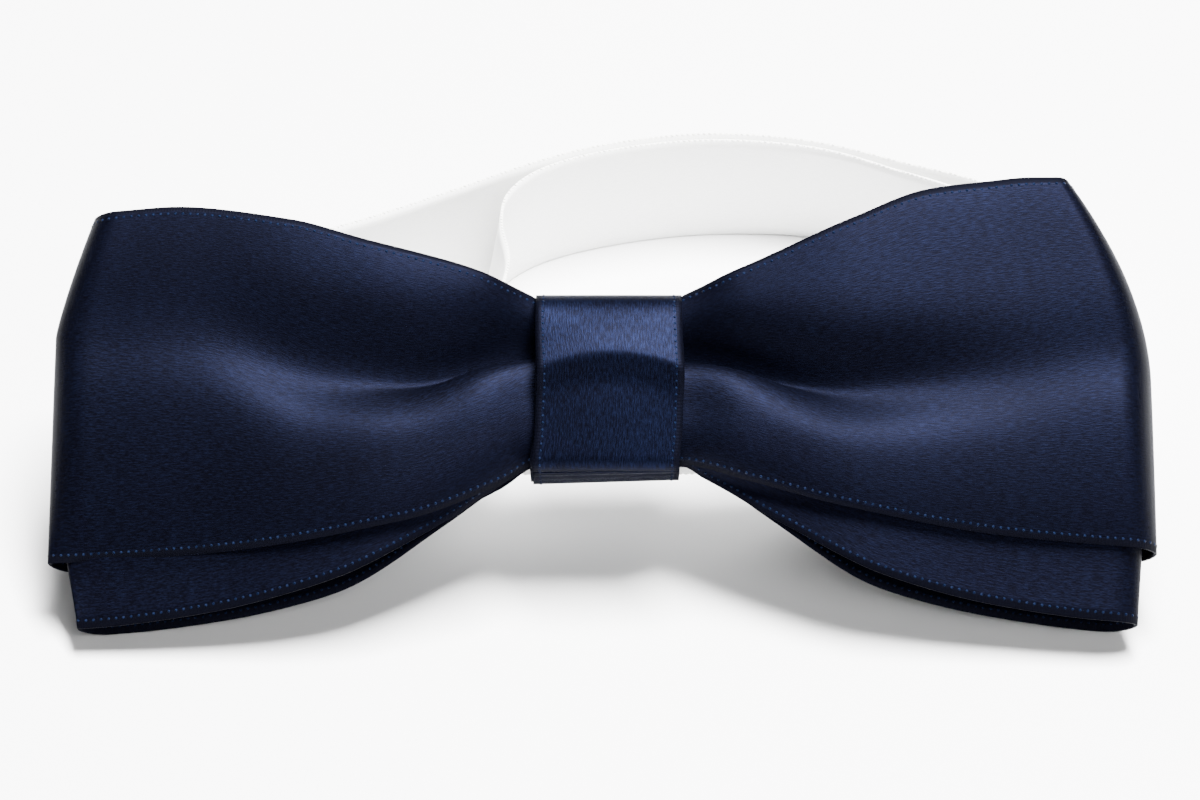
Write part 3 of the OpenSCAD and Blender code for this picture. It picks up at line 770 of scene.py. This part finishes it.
HOOK_MAIN = HOOK_AT + TURN_R * right_of(HOOK_DIR)
HOOK_TAIL = HOOK_AT - TURN_R * right_of(HOOK_DIR)
FAR, OUTER_FAR = ARC_DEPTH, ARC_DEPTH + ARM_GAP
TAIL_HOOK, TAIL_EYE, TURN_COUNT, PATH_STEPS, NECK_COLUMNS = 16, 8, 12, 8, 12
NECK_TRIM, NECK_PICOT, NECK_PITCH, NECK_INSET = 0.3, (0.5, 0.3, 0.34), 0.62, 0.02
# The ribbon's path: x, y, height of its lower edge, and its lean inwards in degrees
NECK_PATH = [
    (*HOOK_MAIN, RISE, 0), (*(HOOK_MAIN - 6 * HOOK_DIR), RISE, 0),
    (*(HOOK_MAIN - 14 * HOOK_DIR), RISE, 0), (-25.6, 35.8, 1.3, 1), (-17.6, 42.6, 0.3, 4),
    (-7.9, OUTER_FAR - 5.7, 0, 8), (1, OUTER_FAR - 2, 0, 8), (12, OUTER_FAR, 0, 9),
    (24, OUTER_FAR - 1.1, 0, 12), (34.2, OUTER_FAR - 5.3, 0, 13), (43.5, 44.6, 0, 8),
    (50.4, 36.5, 0, 5), (53, 26, 0, 4), (50, 16.6, 0, 3), (42, 11.6, 0.4, 7),
    (33, 9.4, 2.2, 20), (24, 7.2, 4.8, 35), (16, 5.1, 8.2, 47),
    (9, KNOT_Y + 0.1, KNOT_LIFT - 0.1, 52), (4.5, KNOT_Y, KNOT_LIFT, 52),
    (0, KNOT_Y, KNOT_LIFT, 52), (-4.5, KNOT_Y, KNOT_LIFT, 52),
    (-9, KNOT_Y + 0.2, KNOT_LIFT - 0.2, 52), (-14.4, 6.6, 8.4, 49), (-16.9, 12.4, 6, 40),
    (-15.2, 20, 3.6, 29), (-13.2, 28, 1.5, 19), (-13.2, 36, 0.4, 11), (-12.0, 42.8, 0, 8),
    (-7.5, FAR - 5.9, 0, 8), (1, FAR - 2, 0, 8), (12, FAR, 0, 9), (24, FAR - 1.1, 0, 12),
    (33, FAR - 5.4, 0, 13), (39.4, 43, 0.7, 8), (41.6, 37.4, 1.9, 2),
    (EYE_AT[0] + TURN_R, EYE_AT[1] + 4, RISE, 0), (EYE_AT[0] + TURN_R, EYE_AT[1], RISE, 0)]


def smooth_path(points, steps):
    p = np.array(points, float)
    p = np.vstack([p[:1], p, p[-1:]])
    out = []
    for i in range(1, len(p) - 2):
        a, b, c, d = p[i - 1:i + 3]
        out += [between(a, b, c, d, k) for k in np.linspace(0, 1, steps, endpoint=False)]
    return np.array(out + [p[-2]])


def straight_run(start, d, length, count):
    return [(*(start + d * length * i / count), RISE, 0) for i in range(count + 1)]


def turn_run(at, d, count):
    out = []
    for i in range(1, count):
        a = math.pi * i / count
        r = math.sin(a) * d - math.cos(a) * right_of(d)
        out.append((*(at + TURN_R * r), RISE, 0))
    return out


neck_run = np.array(
    straight_run(HOOK_TAIL - TAIL_HOOK * HOOK_DIR, HOOK_DIR, TAIL_HOOK, TAIL_HOOK)
    + turn_run(HOOK_AT, HOOK_DIR, TURN_COUNT) + smooth_path(NECK_PATH, PATH_STEPS).tolist()
    + turn_run(EYE_AT, EYE_DIR, TURN_COUNT)
    + straight_run(EYE_AT + TURN_R * right_of(EYE_DIR), -EYE_DIR, TAIL_EYE, TAIL_EYE))


def neck_section(run):
    """Rows of points across the neck ribbon."""
    d = np.gradient(run[:, :2], axis=0)
    d /= np.linalg.norm(d, axis=1, keepdims=True)
    tilt = np.radians(run[:, 3])[:, None]
    inward = np.stack([d[:, 1], -d[:, 0], d[:, 0] * 0], -1)
    up = np.cos(tilt) * np.array([[0, 0, 1.0]]) + np.sin(tilt) * inward
    middle = np.stack([run[:, 0], run[:, 1],
                       np.maximum(0, run[:, 2]) + NECK_RIBBON / 2 * np.cos(tilt[:, 0])
                       + STRAP_T / 2 * np.sin(tilt[:, 0])], -1)
    side = np.linspace(-0.5, 0.5, NECK_COLUMNS + 1)[None, :, None] * (NECK_RIBBON - NECK_TRIM)
    return (middle[:, None] + side * up[:, None] - ORIGIN) * MM


neck_rows = neck_section(neck_run)
neck = ribbon_mesh("neck_ribbon_strip", neck_rows, NECK_RIBBON, False, white_satin, NECK_RIBBON_T)
neck_picots = picots("neck_ribbon_picots", neck_rows, False, picot_white, NECK_PITCH,
                     NECK_PICOT, NECK_INSET)


def raw_to_frame(p):
    return (np.array(p, float) - ORIGIN) * MM


def bar_tack(name, at, d, side, back):
    """A zigzag up the ribbon, some way back from a bar."""
    points = []
    for rise, aside in zigzag(21, NECK_RIBBON / 2 - 6, 0.6, 0.5):
        x, y = at - d * (back + aside) + side
        points.append(raw_to_frame([x, y, RISE + rise]))
    return thread_along(name, points, STITCH_R, white_thread)


FACE_OFF = TURN_R + STRAP_T / 2 + STITCH_R
HEM_BACK, EYE_STITCH_BACK = 14.9, 5.5
hem_stitch = bar_tack("tail_hem_thread", HOOK_AT, HOOK_DIR, -FACE_OFF * right_of(HOOK_DIR),
                      HEM_BACK)
eye_stitch = bar_tack("eye_loop_thread", EYE_AT, EYE_DIR, FACE_OFF * right_of(EYE_DIR),
                      EYE_STITCH_BACK)
TACK_V, TACK_W = 4, -STRAP_BEHIND + STRAP_T / 2 + 0.2
tack_points = [lean_to(np.array([u, TACK_V + aside, TACK_W]))
               for u, aside in zigzag(SEAM_COUNT, SEAM_FROM, SEAM_STEP, 0.5)]
neck_tack = thread_along("neck_ribbon_tack_thread", tack_points, STITCH_R, white_thread)

# ------------------------------------------------------------------- metal
METAL, EDGE_ROUND, SHARP = ("hook", "slider", "eye"), 0.12, math.radians(35)
for name in METAL:
    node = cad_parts[name]
    node.data.materials.clear()
    node.data.materials.append(plating)
    edge = node.modifiers.new("edge", "BEVEL")
    edge.width, edge.segments = EDGE_ROUND * MM, 2
    edge.limit_method, edge.angle_limit = "ANGLE", SHARP

# -------------------------------------------------------------- hide the CAD parts, attach pieces to the bow
for piece, node in ((outer, "outer_loop"), (inner, "inner_loop"), (band, "centre_band"),
                    (binding, "binding_thread"), (neck, "neck_ribbon"),
                    (outer_seam, "outer_loop_seam"), (inner_seam, "inner_loop_seam"),
                    (band_stitch, "band_stitches"), (neck_tack, "neck_ribbon_tack"),
                    (hem_stitch, "tail_hem_stitches"), (eye_stitch, "eye_loop_stitches")):
    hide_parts(node)
for piece, slot in ((outer, "wide_satin_ribbon"), (inner, "wide_satin_ribbon"),
                    (band, "narrow_satin_ribbon"), (outer_picots, "wide_satin_ribbon"),
                    (inner_picots, "wide_satin_ribbon"), (band_picots, "narrow_satin_ribbon"),
                    (neck, "white_ribbon"), (neck_picots, "white_ribbon"),
                    (binding, "navy_thread"), (outer_seam, "navy_thread"),
                    (inner_seam, "navy_thread"), (band_stitch, "navy_thread"),
                    (neck_tack, "white_thread"), (hem_stitch, "white_thread"),
                    (eye_stitch, "white_thread")):
    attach(piece, "bow")

# ------------------------------------------------------------ floor and light
FLOOR_HALF, WORLD_STRENGTH = 3, 0.15
floor_mesh = bpy.data.meshes.new("floor")
corners = [(-1, -1), (1, -1), (1, 1), (-1, 1)]
floor_mesh.from_pydata([(x * FLOOR_HALF, y * FLOOR_HALF, 0) for x, y in corners], [],
                       [(0, 1, 2, 3)])
floor = bpy.data.objects.new("floor", floor_mesh)
bpy.context.scene.collection.objects.link(floor)
paper, tree = material("paper")
finish_material(tree, {"Base Color": (0.86, 0.86, 0.865, 1), "Roughness": 0.85})
floor_mesh.materials.append(paper)

world = bpy.data.worlds.new("studio")
world.use_nodes = True
background = world.node_tree.nodes["Background"]
background.inputs["Color"].default_value = (1, 1, 1, 1)
background.inputs["Strength"].default_value = WORLD_STRENGTH
bpy.context.scene.world = world


def area_light(name, at, size, power):
    """A soft light at a place in metres, facing the bow."""
    data = bpy.data.lights.new(name, "AREA")
    data.shape, data.size, data.size_y, data.energy = "RECTANGLE", size[0], size[1], power
    made = bpy.data.objects.new(name, data)
    made.location = at
    x, y, z = at
    made.rotation_euler = (math.atan2(math.hypot(x, y), z), 0, math.atan2(-y, -x) - math.pi / 2)
    bpy.context.scene.collection.objects.link(made)


OVER_AT, OVER_SIZE, OVER_POWER = (0.13, 0.07, 0.8), (0.5, 0.22), 79.0
FRONT_AT, FRONT_SIZE, FRONT_POWER = (0.35, -0.75, 0.75), (0.6, 0.4), 7.0
area_light("softbox_over", OVER_AT, OVER_SIZE, OVER_POWER)
area_light("softbox_front", FRONT_AT, FRONT_SIZE, FRONT_POWER)
